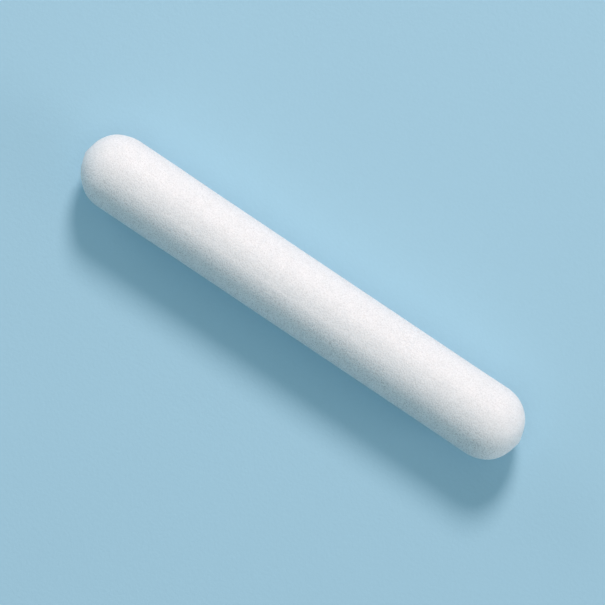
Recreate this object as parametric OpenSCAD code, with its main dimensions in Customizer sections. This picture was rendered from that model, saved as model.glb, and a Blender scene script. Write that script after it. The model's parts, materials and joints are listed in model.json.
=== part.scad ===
// Magnetic stir bar: a smooth white jacket, moulded shut around a round rod magnet.
// The bar lies along X with its middle at the origin, and +Z is up. All sizes are in millimetres.

/* [Bar] */
// Length of the bar, from tip to tip
bar_l = 60.3; // [30:0.1:150]
// Diameter of the straight barrel between the two domed ends
bar_d = 9; // [6:0.1:20]
// How far the blunt cone on the tip of each dome stands out from the dome's ball shape
tip_rise = 0.13; // [0.02:0.01:1]

/* [Jacket] */
// Thickness of the jacket around the magnet
wall = 1.2; // [0.8:0.05:2]
// How far the cavity stops short of the base of each dome
end_setback = 5.47; // [0:0.01:8]

/* [Magnet] */
// Gap between the magnet and the jacket, all round it and at both its ends
magnet_clearance = 0.05; // [0.02:0.01:0.2]
// Chamfer around both ends of the magnet
magnet_chamfer = 0.4; // [0.1:0.1:1]

/* [Hidden] */
$fn = 96;

barrel_r = bar_d / 2;
dome_h = barrel_r + tip_rise;
tip_angle = acos(barrel_r / dome_h);
barrel_l = bar_l - 2 * dome_h;
cavity_r = barrel_r - wall;
cavity_l = barrel_l - 2 * end_setback;
magnet_r = cavity_r - magnet_clearance;
magnet_l = cavity_l - 2 * magnet_clearance;

// Turns a half outline, drawn beside the Y axis, into a solid that lies along X
module turned_along_x() {
    rotate([0, 90, 0]) rotate_extrude() children();
}

// Half outline of one dome, with its base on the X axis and its tip on the Y axis: a quarter of a ball,
// and a cone whose side just touches it
module dome_outline() {
    intersection() {
        circle(r = barrel_r);
        square(bar_d);
    }
    polygon([[0, 0], barrel_r * [sin(tip_angle), cos(tip_angle)], [0, dome_h]]);
}

// Half outline of the whole bar: the barrel, and a dome at each end
module bar_outline() {
    translate([0, -barrel_l / 2]) square([barrel_r, barrel_l]);
    translate([0, barrel_l / 2]) dome_outline();
    translate([0, -barrel_l / 2]) mirror([0, 1]) dome_outline();
}

// Half outline of the magnet: a plain rod with both its edges broken
module magnet_outline() {
    face_r = magnet_r - magnet_chamfer;
    face_y = magnet_l / 2;
    side_y = face_y - magnet_chamfer;
    polygon([
        [0, -face_y], [face_r, -face_y], [magnet_r, -side_y],
        [magnet_r, side_y], [face_r, face_y], [0, face_y]
    ]);
}

// One-piece jacket: a closed skin with no opening, sealed around the magnet's cavity
module jacket() {
    color("white")
    difference() {
        turned_along_x() bar_outline();
        turned_along_x() translate([0, -cavity_l / 2]) square([cavity_r, cavity_l]);
    }
}

// Rod magnet, magnetised from end to end, which the stirrer's turning field drags round
module magnet() {
    color("dimgray")
    turned_along_x() magnet_outline();
}

jacket();
magnet();
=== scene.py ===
"""Magnetic stir bar: the looks of its jacket and its magnet, and a plain stage for it to lie on."""

import json
import math

import bpy
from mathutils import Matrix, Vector


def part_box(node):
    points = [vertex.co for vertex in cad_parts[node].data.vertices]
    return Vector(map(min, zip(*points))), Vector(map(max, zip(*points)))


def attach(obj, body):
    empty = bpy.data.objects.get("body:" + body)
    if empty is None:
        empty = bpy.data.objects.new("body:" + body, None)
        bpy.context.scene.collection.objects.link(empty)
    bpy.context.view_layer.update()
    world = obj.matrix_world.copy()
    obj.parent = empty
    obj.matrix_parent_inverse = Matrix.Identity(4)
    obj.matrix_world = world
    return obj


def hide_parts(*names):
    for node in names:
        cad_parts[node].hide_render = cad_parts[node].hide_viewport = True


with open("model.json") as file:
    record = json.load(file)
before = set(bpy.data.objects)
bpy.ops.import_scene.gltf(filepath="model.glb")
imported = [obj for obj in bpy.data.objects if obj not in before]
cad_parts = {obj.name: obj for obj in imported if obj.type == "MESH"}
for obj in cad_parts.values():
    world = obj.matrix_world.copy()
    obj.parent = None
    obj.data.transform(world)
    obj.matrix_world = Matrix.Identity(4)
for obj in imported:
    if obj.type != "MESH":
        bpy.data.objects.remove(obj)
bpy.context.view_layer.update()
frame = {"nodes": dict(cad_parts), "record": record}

bl_info = {
    "name": "Magnetic Stir Bar",
    "version": (1, 0, 0),
    "blender": (4, 5, 0),
    "location": "3D View > Sidebar > Stir Bar",
    "description": "Builds a moulded stir bar with its magnet, and a plain stage around it",
    "category": "Object",
}

MM = 0.001
JACKET_LOW, JACKET_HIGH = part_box("jacket")
MAGNET_LOW, MAGNET_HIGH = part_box("magnet")
BARREL = next(m for m in frame["record"]["mounts"] if m["name"] == "barrel")
BARREL_RADIUS = JACKET_HIGH.z
BARREL_LENGTH = BARREL["dims"]["length_mm"] * MM
BAR_LENGTH = JACKET_HIGH.x - JACKET_LOW.x
TIP_RISE = (BAR_LENGTH - BARREL_LENGTH) / 2 - BARREL_RADIUS
CAVITY_GAP = 0.05 * MM

# What the jacket's geometry nodes take from its settings, where each has the same name.
JACKET_SIZES = (
    "Barrel Length", "Radius", "Tip Rise", "Tip Blunting", "Lean Start", "Lean End", "Fullness",
    "Waist Depth", "Waist Length", "Waist Run", "Waist Shift",
    "Seam Angle", "Seam Width", "Seam Height", "Seam Length", "Seam Shift", "Unevenness",
)
JACKET_COUNTS = ("Rings", "Segments")
CREASE_ANGLE = math.radians(40)

# Noise runs from 0 to 1. Taken off it, this makes a pattern that goes both ways.
MID_NOISE = 0.5

# The stage's light: the key as the camera sees it, and each fill's name, direction, size in
# metres, share of the key's power, and colour.
KEY_RIGHT, KEY_UP, KEY_HEIGHT = 0.25, 0.97, 0.90
KEY_SIZE = 0.27
KEY_COLOUR = (1.0, 0.825, 0.795)
FILLS = (
    ("end_fill", (1.0, 0.22, 0.18), 0.5, 0.45, (1.0, 0.86, 0.82)),
    ("start_fill", (-1.0, 0.35, 0.3), 0.5, 0.15, (1.0, 0.9, 0.86)),
    ("top_fill", (0.0, -0.25, 1.0), 0.7, 0.185, (0.82, 0.95, 1.0)),
)
LOW_SKY, HIGH_SKY = (0.20, 0.49, 0.66), (0.72, 0.94, 1.0)

# The camera: its sensor's width in millimetres, how far it sees, and how far above the middle
# of its view the bar lies.
SENSOR_WIDTH = 36.0
NEAREST, FARTHEST = 0.05, 20.0
BAR_ABOVE_MIDDLE = 0.62 * MM


# ---------------------------------------------------------------- node trees


class Sock:
    """One output of a node. Arithmetic on it adds Math nodes to its tree."""

    def __init__(self, graph, socket):
        self.graph = graph
        self.socket = socket

    def twin(self, name):
        """Another output of the same node."""
        return Sock(self.graph, self.socket.node.outputs[name])

    def __add__(self, other):
        return self.graph.fn("ADD", self, other)

    def __radd__(self, other):
        return self.graph.fn("ADD", other, self)

    def __sub__(self, other):
        return self.graph.fn("SUBTRACT", self, other)

    def __rsub__(self, other):
        return self.graph.fn("SUBTRACT", other, self)

    def __mul__(self, other):
        return self.graph.fn("MULTIPLY", self, other)

    def __rmul__(self, other):
        return self.graph.fn("MULTIPLY", other, self)

    def __truediv__(self, other):
        return self.graph.fn("DIVIDE", self, other)

    def __gt__(self, other):
        return self.graph.fn("GREATER_THAN", self, other)

    def __abs__(self):
        return self.graph.fn("ABSOLUTE", self)

    def __neg__(self):
        return self.graph.fn("MULTIPLY", self, -1.0)


class Graph:
    """A shader or geometry node tree that is filled in one node at a time."""

    def __init__(self, tree):
        self.tree = tree

    def fill(self, socket, value):
        """Links a node's output to a socket, or sets the socket to a plain value."""
        if isinstance(value, Sock):
            self.tree.links.new(value.socket, socket)
        else:
            socket.default_value = value

    def node(self, kind, settings=None, inputs=None, out=0):
        """Adds a node, sets it up, fills or links its sockets, and returns one of its outputs."""
        made = self.tree.nodes.new(kind)
        for name, value in (settings or {}).items():
            setattr(made, name, value)
        for key, value in (inputs or {}).items():
            self.fill(made.inputs[key], value)
        return Sock(self, made.outputs[out]) if made.outputs else None

    def fn(self, operation, *values):
        """A Math node, such as SINE of one value or MINIMUM of two."""
        return self.node("ShaderNodeMath", {"operation": operation}, dict(enumerate(values)))

    def smooth(self, value, start, end):
        """Rises smoothly from 0 at start to 1 at end."""
        sockets = {"Value": value, "From Min": start, "From Max": end, "To Min": 0.0, "To Max": 1.0}
        return self.node("ShaderNodeMapRange", {"interpolation_type": "SMOOTHSTEP"}, sockets)

    def hump(self, value, rise, fall):
        """Rises smoothly from 0 to 1 over one stretch, and falls back to 0 over a later one."""
        return self.smooth(value, *rise) * (1.0 - self.smooth(value, *fall))

    def vector(self, x, y, z):
        return self.node("ShaderNodeCombineXYZ", {}, {"X": x, "Y": y, "Z": z})

    def parts(self, vector):
        """The three numbers that a vector or a colour holds."""
        split = self.node("ShaderNodeSeparateXYZ", {}, {"Vector": vector})
        return [split.twin(axis) for axis in "XYZ"]

    def noise(self, vector, scale, detail=2.0, roughness=0.5):
        sockets = {"Vector": vector, "Scale": scale, "Detail": detail, "Roughness": roughness}
        return self.node("ShaderNodeTexNoise", {"noise_dimensions": "3D"}, sockets)

    def blend(self, share, first, second, mode="MIX"):
        """A Mix node on colours, whose sockets share their names, so it is filled by place."""
        share_place, first_place, second_place, colour_out = 0, 6, 7, 2
        sockets = {share_place: share, first_place: first, second_place: second}
        return self.node(
            "ShaderNodeMix", {"data_type": "RGBA", "blend_type": mode}, sockets, colour_out
        )

    def bump(self, height, distance, strength=1.0, normal=None):
        """Turns the surface to follow a height, on top of the normal that an earlier bump gives."""
        sockets = {"Height": height, "Distance": distance, "Strength": strength}
        if normal:
            sockets["Normal"] = normal
        return self.node("ShaderNodeBump", {}, sockets)


def new_material(name):
    """An empty material, its graph, and the Principled shader that it ends in."""
    material = bpy.data.materials.new(name)
    material.use_nodes = True
    tree = material.node_tree
    tree.nodes.clear()
    graph = Graph(tree)
    shader = tree.nodes.new("ShaderNodeBsdfPrincipled")
    output = tree.nodes.new("ShaderNodeOutputMaterial")
    tree.links.new(shader.outputs["BSDF"], output.inputs["Surface"])
    return material, graph, shader


def feed(graph, shader, **sockets):
    """Links what changes over the surface to the shader, and sets what doesn't."""
    for name, value in sockets.items():
        graph.fill(shader.inputs[name.replace("_", " ").title().replace("Ior", "IOR")], value)


def place_in_mm(graph):
    """Where a point lies on the piece, in millimetres."""
    where = graph.node("ShaderNodeTexCoord", out="Object")
    return graph.node("ShaderNodeVectorMath", {"operation": "SCALE"}, {0: where, "Scale": 1 / MM})


def stretched(graph, where, scales):
    """The same place, with each axis scaled, so that a pattern draws out along the smallest."""
    return graph.node("ShaderNodeVectorMath", {"operation": "MULTIPLY"}, {0: where, 1: scales})


def rgba(colour, factor=1.0):
    """A colour with its alpha, made darker or lighter by a factor."""
    return (*(c * factor for c in colour[:3]), 1.0)


# ---------------------------------------------------------------- properties


def length_property(name, description, default):
    """A length in metres, shown in the scene's own unit."""
    return bpy.props.FloatProperty(
        name=name, description=description, default=default, precision=5, unit="LENGTH"
    )


def colour_property(name, description, default):
    """A colour without alpha."""
    return bpy.props.FloatVectorProperty(
        name=name, description=description, default=default, size=3, min=0, max=1, subtype="COLOR"
    )


class JacketSettings(bpy.types.PropertyGroup):
    """Shape and finish of the moulded jacket."""

    barrel_length: length_property("Barrel length", "Straight part between the domes", BARREL_LENGTH)
    radius: length_property("Radius", "Radius of the barrel at its fullest", BARREL_RADIUS)
    tip_rise: length_property("Tip rise", "How far the cone on each tip stands out", TIP_RISE)
    tip_blunting: length_property("Tip blunting", "How far the point is worn back", 0.015 * MM)
    lean_start: length_property("Lean at start", "How far the -X dome leans sideways", 0.14 * MM)
    lean_end: length_property("Lean at end", "How far the +X dome leans sideways", -0.035 * MM)
    fullness: length_property("Fullness", "How far the +X dome swells out of the ball", 0.05 * MM)
    waist_depth: length_property("Waist depth", "How far the barrel is drawn in", 0.031 * MM)
    waist_length: length_property("Waist length", "How much of the barrel is drawn in", 35.8 * MM)
    waist_run: length_property("Waist run", "Over what length it fills out again", 5.5 * MM)
    waist_shift: length_property("Waist shift", "How far its middle is off the bar's", 2.8 * MM)
    seam_angle: bpy.props.FloatProperty(
        name="Seam angle",
        description="Where the closed seam runs, turned from the top towards the front",
        default=math.radians(15.5),
        subtype="ANGLE",
    )
    seam_width: length_property("Seam width", "Half the width of the closed seam", 0.42 * MM)
    seam_height: length_property("Seam height", "How far the closed seam stands out", 0.04 * MM)
    seam_length: length_property("Seam length", "How much of the bar the seam shows on", 46 * MM)
    seam_shift: length_property("Seam shift", "How far its middle is off the bar's", -4 * MM)
    unevenness: length_property("Unevenness", "Depth of the hollows in the skin", 0.01 * MM)
    rings: bpy.props.IntProperty(
        name="Rings", description="Rings of faces from tip to tip", default=240, min=60, max=320
    )
    segments: bpy.props.IntProperty(
        name="Segments", description="Faces around the bar", default=256, min=48, max=320
    )
    colour: colour_property("Colour", "Colour of the clean jacket", (0.925, 0.925, 0.918))
    shade: colour_property("Mottle", "Colour of its duller patches", (0.862, 0.872, 0.872))
    speck: colour_property("Speck", "Colour of the few specks moulded in", (0.45, 0.45, 0.43))
    roughness: bpy.props.FloatProperty(
        name="Roughness", description="How matt the jacket is", default=0.5, min=0, max=1
    )


class MagnetSettings(bpy.types.PropertyGroup):
    """Finish of the magnet."""

    colour: colour_property("Colour", "Colour of the ground alloy", (0.33, 0.33, 0.34))
    dark: colour_property("Pores", "Colour of its casting pores", (0.12, 0.12, 0.125))
    roughness: bpy.props.FloatProperty(
        name="Roughness", description="How dull the ground side is", default=0.42, min=0, max=1
    )


class StageSettings(bpy.types.PropertyGroup):
    """Floor, lights and camera."""

    floor_colour: colour_property("Floor", "Colour of the floor", (0.40, 0.66, 0.80))
    backdrop_colour: colour_property("Backdrop", "Colour beyond the floor", (0.44, 0.64, 0.74))
    floor_size: length_property("Floor size", "Side of the square floor", 1.6)
    view_angle: bpy.props.FloatProperty(
        name="Turn", description="Camera's turn about the upright axis", default=math.radians(33.84),
        subtype="ANGLE",
    )
    view_width: length_property("View width", "Width seen at the bar's axis", 69.84 * MM)
    view_distance: length_property("Distance", "From the bar's axis up to the camera", 1.0)
    key_power: bpy.props.FloatProperty(
        name="Key", description="Power of the main light", default=6.85, min=0, unit="POWER"
    )
    fill_strength: bpy.props.FloatProperty(
        name="Fill", description="Strength of the light from all round", default=0.36, min=0
    )


# ---------------------------------------------------------------- jacket


def jacket_tree():
    """Geometry nodes that roll a grid up into the jacket's skin and line it with the magnet's cavity."""
    tree = bpy.data.node_groups.new("Jacket Skin", "GeometryNodeTree")
    face = tree.interface
    for name in (*JACKET_SIZES, "Cavity Length", "Cavity Radius"):
        face.new_socket(name, in_out="INPUT", socket_type="NodeSocketFloat")
    for name in JACKET_COUNTS:
        face.new_socket(name, in_out="INPUT", socket_type="NodeSocketInt")
    face.new_socket("Material", in_out="INPUT", socket_type="NodeSocketMaterial")
    face.new_socket("Geometry", in_out="OUTPUT", socket_type="NodeSocketGeometry")
    graph = Graph(tree)
    group = tree.nodes.new("NodeGroupInput")
    given = {s.name: Sock(graph, s) for s in group.outputs if s.name}

    skin = rolled_skin(graph, given)
    sockets = {"Vertices": given["Segments"], "Side Segments": 1, "Radius": given["Cavity Radius"]}
    cavity = graph.node("GeometryNodeMeshCylinder", {}, {**sockets, "Depth": given["Cavity Length"]})
    quarter = {"Geometry": cavity, "Rotation": (0.0, math.pi / 2, 0.0)}
    cavity = graph.node("GeometryNodeTransform", {}, quarter)
    cavity = graph.node("GeometryNodeFlipFaces", {}, {"Mesh": cavity})

    join = tree.nodes.new("GeometryNodeJoinGeometry")
    for half in (cavity, skin):
        tree.links.new(half.socket, join.inputs["Geometry"])
    whole = graph.node("GeometryNodeRealizeInstances", {}, {"Geometry": Sock(graph, join.outputs[0])})
    whole = graph.node("GeometryNodeSetMaterial", {}, {"Geometry": whole, "Material": given["Material"]})
    graph.node("NodeGroupOutput", {}, {"Geometry": whole})
    return tree


def rolled_skin(graph, given):
    """The outer skin: a grid whose long side becomes the outline and whose short side the turn."""
    # Rises and falls are angles over the dome, in radians. The hollows' scale is per metre.
    barrel_share = 0.6
    swell_rise, swell_fall = (0.1, 0.7), (0.8, 1.3)
    lean_rise, lean_fall = (0.3, 0.8), (1.2, math.pi / 2)
    seam_front_flank, seam_fades_from = 4.0, 0.4
    hollow_scale = 320.0
    smallest_gap = 1e-6

    half_barrel = given["Barrel Length"] / 2.0
    radius = given["Radius"]
    sockets = {"Size X": 2.0, "Size Y": 2 * math.pi}
    sockets |= {"Vertices X": given["Rings"] + 1.0, "Vertices Y": given["Segments"] + 1.0}
    grid = graph.node("GeometryNodeMeshGrid", {}, sockets)
    run, turn, _ = graph.parts(graph.node("GeometryNodeInputPosition"))
    plus_end = run > 0.0

    # Along the outline: the barrel first, then a quarter turn over the ball of the dome, which
    # swells a little at the +X end between its shoulder and its tip.
    reach = abs(run)
    on_barrel = graph.fn("MINIMUM", reach / barrel_share, 1.0) * half_barrel
    arc = graph.fn("MAXIMUM", reach - barrel_share, 0.0) * (math.pi / 2 / (1 - barrel_share))
    ball = radius + graph.hump(arc, swell_rise, swell_fall) * plus_end * given["Fullness"]
    ball_out = graph.fn("SINE", arc) * ball
    out_from_axis = graph.fn("COSINE", arc) * ball

    # The cone just touches the ball, and its point is rounded off.
    tip_height = radius + given["Tip Rise"]
    tip_angle = graph.fn("ARCCOSINE", radius / tip_height)
    fall = out_from_axis * graph.fn("TANGENT", tip_angle)
    blunting = given["Tip Blunting"]
    cone_out = tip_height - graph.fn("SQRT", fall * fall + blunting * blunting)
    on_cone = arc + tip_angle > math.pi / 2
    dome_out = ball_out + on_cone * (cone_out - ball_out)
    along = graph.fn("SIGN", run) * (on_barrel + dome_out)

    # Each dome leans a little to one side between its shoulder and its point.
    lean = given["Lean Start"] + plus_end * (given["Lean End"] - given["Lean Start"])
    leaning = graph.hump(arc, lean_rise, lean_fall) * lean

    # The barrel is drawn in over its magnet.
    off_waist = abs(along - given["Waist Shift"]) - given["Waist Length"] / 2.0
    waist = 1.0 - graph.smooth(off_waist, 0.0, given["Waist Run"])

    # The closed seam stands a little out of the barrel, with a wider flank towards the front.
    across = (turn - given["Seam Angle"]) * radius / given["Seam Width"]
    across = across / (1.0 + (across > 0.0) * (seam_front_flank - 1.0))
    seam_end = given["Seam Length"] / 2.0
    off_seam = abs(along - given["Seam Shift"])
    seam_fade = 1.0 - graph.smooth(off_seam, seam_end * seam_fades_from, seam_end)
    seam = graph.fn("EXPONENT", -(across * across)) * seam_fade

    skin_point = graph.vector(along, graph.fn("SINE", turn) * radius, graph.fn("COSINE", turn) * radius)
    hollows = graph.noise(skin_point, hollow_scale)
    drawn_in = waist * given["Waist Depth"] + hollows * given["Unevenness"]
    drawn_in = drawn_in - seam * given["Seam Height"]
    rolled = out_from_axis - drawn_in * graph.fn("COSINE", arc)

    # Rolled up this way, the faces look inwards, so they are turned round once the edges are merged.
    sideways = leaning - rolled * graph.fn("SINE", turn)
    place = graph.vector(along, sideways, rolled * graph.fn("COSINE", turn))
    rolled_up = graph.node("GeometryNodeSetPosition", {}, {"Geometry": grid, "Position": place})
    sockets = {"Geometry": rolled_up, "Distance": smallest_gap}
    closed = graph.node("GeometryNodeMergeByDistance", {}, sockets)
    return graph.node("GeometryNodeFlipFaces", {}, {"Mesh": closed})


def ptfe_material(settings):
    """White fluoropolymer as moulded: waxy, a little see-through, with a fine grain and dull patches."""
    # Scales are per millimetre, and places along and across the bar are in millimetres.
    grain_scale, patch_scale, speck_scale = 6.0, 0.9, 0.45
    drag_scales = (0.12, 2.2, 2.2)
    coarse_edge, fine_edge = -3.6, -0.3
    faint_drag_end, strong_drag_start = 4.0, 14.0
    # How the patterns show in the colour.
    grain_in_mottle, mottle_from, mottle_to, mottle_strength = 0.4, 0.16, 0.46, 0.75
    fine_dust, coarse_dust, brightest_dust = 0.55, 0.7, 1.08
    empty_cells, speck_strength = 0.72, 0.5
    dot_core, smallest_dot, dot_growth = 0.02, 0.035, 0.03
    # How they show in the gloss and the relief.
    patch_mattness, drag_mattness = 0.16, 0.10
    drag_depth, faint_drag, drag_strength = 0.02 * MM, 0.8, 0.5
    grain_depth, extra_coarse_grain = 0.05 * MM, 0.9
    # The bulk: its refraction, and the light that scatters under the skin and comes out again.
    refraction = 1.36
    glow, glow_reach, glow_depth = 0.4, (1.0, 0.97, 0.94), 1.0 * MM

    material, graph, shader = new_material("ptfe_jacket")
    where = place_in_mm(graph)
    along, sideways, _ = graph.parts(where)
    coarse_side = 1.0 - graph.smooth(sideways, coarse_edge, fine_edge)
    dragged_end = graph.smooth(along, faint_drag_end, strong_drag_start)
    grain = graph.noise(where, grain_scale, detail=1.0) - MID_NOISE
    patches = graph.noise(where, patch_scale, detail=4.0, roughness=0.62)
    drawn_out = stretched(graph, where, drag_scales)
    drag = graph.noise(drawn_out, scale=1.0, detail=3.0, roughness=0.55) - MID_NOISE

    # Specks: a few cells of a wide pattern hold one small dot each.
    cells = {"Vector": where, "Scale": speck_scale}
    near = graph.node("ShaderNodeTexVoronoi", {}, cells, out="Distance")
    chance, size, _ = graph.parts(near.twin("Color"))
    dot = 1.0 - graph.smooth(near, dot_core, smallest_dot + dot_growth * size)
    speck = dot * (chance > empty_cells)

    mottle = patches * (1.0 - grain_in_mottle) + grain * grain_in_mottle
    mottle = graph.smooth(mottle, mottle_from, mottle_to) * mottle_strength
    body = graph.blend(mottle, rgba(settings.colour), rgba(settings.shade))
    dust = 1.0 + grain * (fine_dust + coarse_dust * coarse_side)
    dust = graph.fn("MINIMUM", dust, brightest_dust)
    body = graph.blend(1.0, body, graph.vector(dust, dust, dust), "MULTIPLY")
    body = graph.blend(speck * speck_strength, body, rgba(settings.speck))

    matt = settings.roughness + patch_mattness * (patches - MID_NOISE) + drag_mattness * drag
    normal = graph.bump(drag * (faint_drag + dragged_end), drag_depth, drag_strength)
    grain_height = grain * (1.0 + extra_coarse_grain * coarse_side)
    normal = graph.bump(grain_height, grain_depth, normal=normal)
    feed(
        graph, shader, base_color=body, roughness=matt, normal=normal, ior=refraction,
        subsurface_weight=glow, subsurface_radius=glow_reach, subsurface_scale=glow_depth,
    )
    return material


def skin_mesh(settings):
    """Runs the geometry nodes once and returns what they made as a plain mesh."""
    tree = jacket_tree()
    holder = bpy.data.objects.new("jacket_nodes", bpy.data.meshes.new("jacket_nodes"))
    bpy.context.scene.collection.objects.link(holder)
    modifier = holder.modifiers.new("Jacket Skin", "NODES")
    modifier.node_group = tree
    values = {
        "Cavity Length": MAGNET_HIGH.x - MAGNET_LOW.x + 2 * CAVITY_GAP,
        "Cavity Radius": MAGNET_HIGH.z + CAVITY_GAP,
        "Material": ptfe_material(settings),
    }
    for name in (*JACKET_SIZES, *JACKET_COUNTS):
        values[name] = getattr(settings, name.lower().replace(" ", "_"))
    for item in tree.interface.items_tree:
        if item.in_out == "INPUT":
            modifier[item.identifier] = values[item.name]
    graph = bpy.context.evaluated_depsgraph_get()
    mesh = bpy.data.meshes.new_from_object(holder.evaluated_get(graph))
    bpy.data.objects.remove(holder)
    return mesh


class STIRBAR_OT_jacket(bpy.types.Operator):
    """Builds the moulded jacket in place of the plain one"""

    bl_idname = "stirbar.jacket"
    bl_label = "Jacket"

    def execute(self, context):
        mesh = skin_mesh(context.scene.stirbar_jacket)
        if not mesh.polygons:
            raise RuntimeError("the jacket's nodes made no faces")
        mesh.name = "jacket_skin"
        mesh.shade_smooth()
        mesh.set_sharp_from_angle(angle=CREASE_ANGLE)
        skin = bpy.data.objects.new("jacket_skin", mesh)
        context.scene.collection.objects.link(skin)
        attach(skin, "root")
        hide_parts("jacket")
        return {"FINISHED"}


# ---------------------------------------------------------------- magnet


def alloy_material(settings):
    """Cast magnet alloy: grey, ground round its side, with small open pores."""
    crystal_scale, pore_scale = 2.4, 3.4
    grinding_scales = (9.0, 0.5, 0.5)
    pore_rim, pore_bottom = 0.66, 0.72
    darkest, brightest = 0.85, 1.1
    grinding_dullness, pore_dullness, pore_metal_drop = 0.18, 0.3, 0.6
    pit_depth, pit_strength = 0.02 * MM, 0.6

    material, graph, shader = new_material("alnico_magnet")
    where = place_in_mm(graph)
    drawn_out = stretched(graph, where, grinding_scales)
    grinding = graph.noise(drawn_out, scale=1.0, detail=3.0, roughness=0.6)
    crystals = graph.noise(where, crystal_scale, detail=3.0)
    pores = graph.noise(where, pore_scale, roughness=0.6)
    pores = graph.smooth(pores, pore_rim, pore_bottom)
    body = graph.blend(crystals, rgba(settings.colour, darkest), rgba(settings.colour, brightest))
    # The pores are darker and less metallic than the alloy round them.
    body = graph.blend(pores, body, rgba(settings.dark))
    dull = settings.roughness + grinding_dullness * (grinding - MID_NOISE) + pore_dullness * pores
    metal = 1.0 - pore_metal_drop * pores
    normal = graph.bump(grinding - pores, pit_depth, pit_strength)
    feed(graph, shader, base_color=body, roughness=dull, normal=normal, metallic=metal)
    return material


class STIRBAR_OT_magnet(bpy.types.Operator):
    """Gives the magnet its cast and ground finish"""

    bl_idname = "stirbar.magnet"
    bl_label = "Magnet"

    def execute(self, context):
        material = alloy_material(context.scene.stirbar_magnet)
        for slot in frame["nodes"]["magnet"].material_slots:
            slot.material = material
        return {"FINISHED"}


# ---------------------------------------------------------------- stage


def floor_material(settings):
    """Plain pale card with a hardly visible tooth."""
    tooth_scale, cloud_scale, cloud_share = 2.6, 0.03, 0.5
    darkest, brightest = 0.97, 1.03
    tooth_depth, tooth_strength = 0.05 * MM, 0.4
    card_roughness = 0.55

    material, graph, shader = new_material("stage_floor")
    where = place_in_mm(graph)
    tooth = graph.noise(where, tooth_scale, detail=3.0, roughness=0.6)
    clouds = graph.noise(where, cloud_scale)
    shade = tooth * (1.0 - cloud_share) + clouds * cloud_share
    dark, bright = (rgba(settings.floor_colour, factor) for factor in (darkest, brightest))
    body = graph.blend(shade, dark, bright)
    normal = graph.bump(tooth, tooth_depth, tooth_strength)
    feed(graph, shader, base_color=body, roughness=card_roughness, normal=normal)
    return material


def add_floor(settings):
    """A square floor that the bar's lowest line touches."""
    half = settings.floor_size / 2
    level = JACKET_LOW.z
    mesh = bpy.data.meshes.new("stage_floor")
    corners = [(x * half, y * half, level) for x, y in ((-1, -1), (1, -1), (1, 1), (-1, 1))]
    mesh.from_pydata(corners, [], [(0, 1, 2, 3)])
    mesh.materials.append(floor_material(settings))
    floor = bpy.data.objects.new("stage_floor", mesh)
    bpy.context.scene.collection.objects.link(floor)


def add_area_light(name, towards, size, power, colour):
    """A round light one metre from the bar in the given direction, facing it and itself unseen."""
    data = bpy.data.lights.new(name, "AREA")
    data.shape, data.size = "DISK", size
    data.energy, data.color = power, colour
    light = bpy.data.objects.new(name, data)
    towards = Vector(towards).normalized()
    light.location = towards
    light.rotation_euler = (-towards).to_track_quat("-Z", "Y").to_euler()
    light.visible_camera = False
    bpy.context.scene.collection.objects.link(light)


def seen(right, up, height, turn):
    """A direction given by how the camera sees it: rightwards, upwards, and out of the floor."""
    across = Vector((math.cos(turn), math.sin(turn), 0.0))
    upwards = Vector((-math.sin(turn), math.cos(turn), 0.0))
    return right * across + up * upwards + height * Vector((0.0, 0.0, 1.0))


def add_sky(settings):
    """Soft light from all round, weak near the floor and strong overhead, with a pale backdrop."""
    world = bpy.data.worlds.new("studio")
    world.use_nodes = True
    graph = Graph(world.node_tree)
    towards = graph.node("ShaderNodeTexCoord", out="Generated")
    height = graph.fn("MAXIMUM", graph.parts(towards)[2], 0.0)
    low, high = (rgba(colour, settings.fill_strength) for colour in (LOW_SKY, HIGH_SKY))
    sky = graph.blend(height, low, high)
    looked_at = graph.node("ShaderNodeLightPath", out="Is Camera Ray")
    colour = graph.blend(looked_at, sky, rgba(settings.backdrop_colour))
    graph.tree.links.new(colour.socket, world.node_tree.nodes["Background"].inputs["Color"])
    bpy.context.scene.world = world


def add_lights(settings):
    """A soft key from the upper side of the view, and three weaker fills at the ends and overhead."""
    power = settings.key_power
    key = seen(KEY_RIGHT, KEY_UP, KEY_HEIGHT, settings.view_angle)
    add_area_light("key_light", key, KEY_SIZE, power, KEY_COLOUR)
    for name, towards, size, share, colour in FILLS:
        add_area_light(name, towards, size, power * share, colour)


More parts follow.
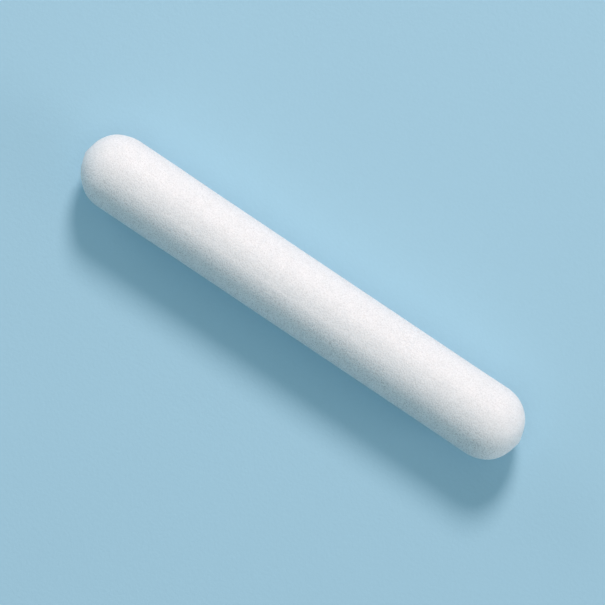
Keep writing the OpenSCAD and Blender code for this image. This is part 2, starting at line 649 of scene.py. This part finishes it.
def add_camera(settings):
    """Looks straight down, with a long lens, and the bar a touch above the middle of the view."""
    data = bpy.data.cameras.new("camera")
    data.sensor_width = SENSOR_WIDTH
    data.lens = SENSOR_WIDTH * settings.view_distance / settings.view_width
    data.clip_start, data.clip_end = NEAREST, FARTHEST
    camera = bpy.data.objects.new("camera", data)
    camera.location = seen(0.0, -BAR_ABOVE_MIDDLE, settings.view_distance, settings.view_angle)
    camera.rotation_euler = (0.0, 0.0, settings.view_angle)
    bpy.context.scene.collection.objects.link(camera)
    bpy.context.scene.camera = camera


class STIRBAR_OT_stage(bpy.types.Operator):
    """Lays a plain pale floor under the bar, and sets up the lights and the camera"""

    bl_idname = "stirbar.stage"
    bl_label = "Stage"

    def execute(self, context):
        settings = context.scene.stirbar_stage
        add_floor(settings)
        add_sky(settings)
        add_lights(settings)
        add_camera(settings)
        context.scene.view_settings.view_transform = "Standard"
        return {"FINISHED"}


# ---------------------------------------------------------------- panel


class STIRBAR_PT_panel(bpy.types.Panel):
    """Lists the bar's pieces and the stage"""

    bl_idname = "STIRBAR_PT_panel"
    bl_label = "Magnetic Stir Bar"
    bl_space_type = "VIEW_3D"
    bl_region_type = "UI"
    bl_category = "Stir Bar"

    def draw(self, context):
        for operator, group in OPERATORS:
            box = self.layout.box()
            box.operator(operator.bl_idname)
            settings = getattr(context.scene, group)
            for name in settings.__annotations__:
                box.prop(settings, name)


GROUPS = {
    "stirbar_jacket": JacketSettings,
    "stirbar_magnet": MagnetSettings,
    "stirbar_stage": StageSettings,
}
OPERATORS = (
    (STIRBAR_OT_jacket, "stirbar_jacket"),
    (STIRBAR_OT_magnet, "stirbar_magnet"),
    (STIRBAR_OT_stage, "stirbar_stage"),
)
CLASSES = (*GROUPS.values(), *(operator for operator, _ in OPERATORS), STIRBAR_PT_panel)


def register():
    for cls in CLASSES:
        bpy.utils.register_class(cls)
    for name, group in GROUPS.items():
        setattr(bpy.types.Scene, name, bpy.props.PointerProperty(type=group))


def unregister():
    for name in GROUPS:
        delattr(bpy.types.Scene, name)
    for cls in reversed(CLASSES):
        bpy.utils.unregister_class(cls)


def main():
    register()
    bpy.ops.stirbar.jacket()
    bpy.ops.stirbar.magnet()
    bpy.ops.stirbar.stage()


if __name__ == "__main__":
    main()
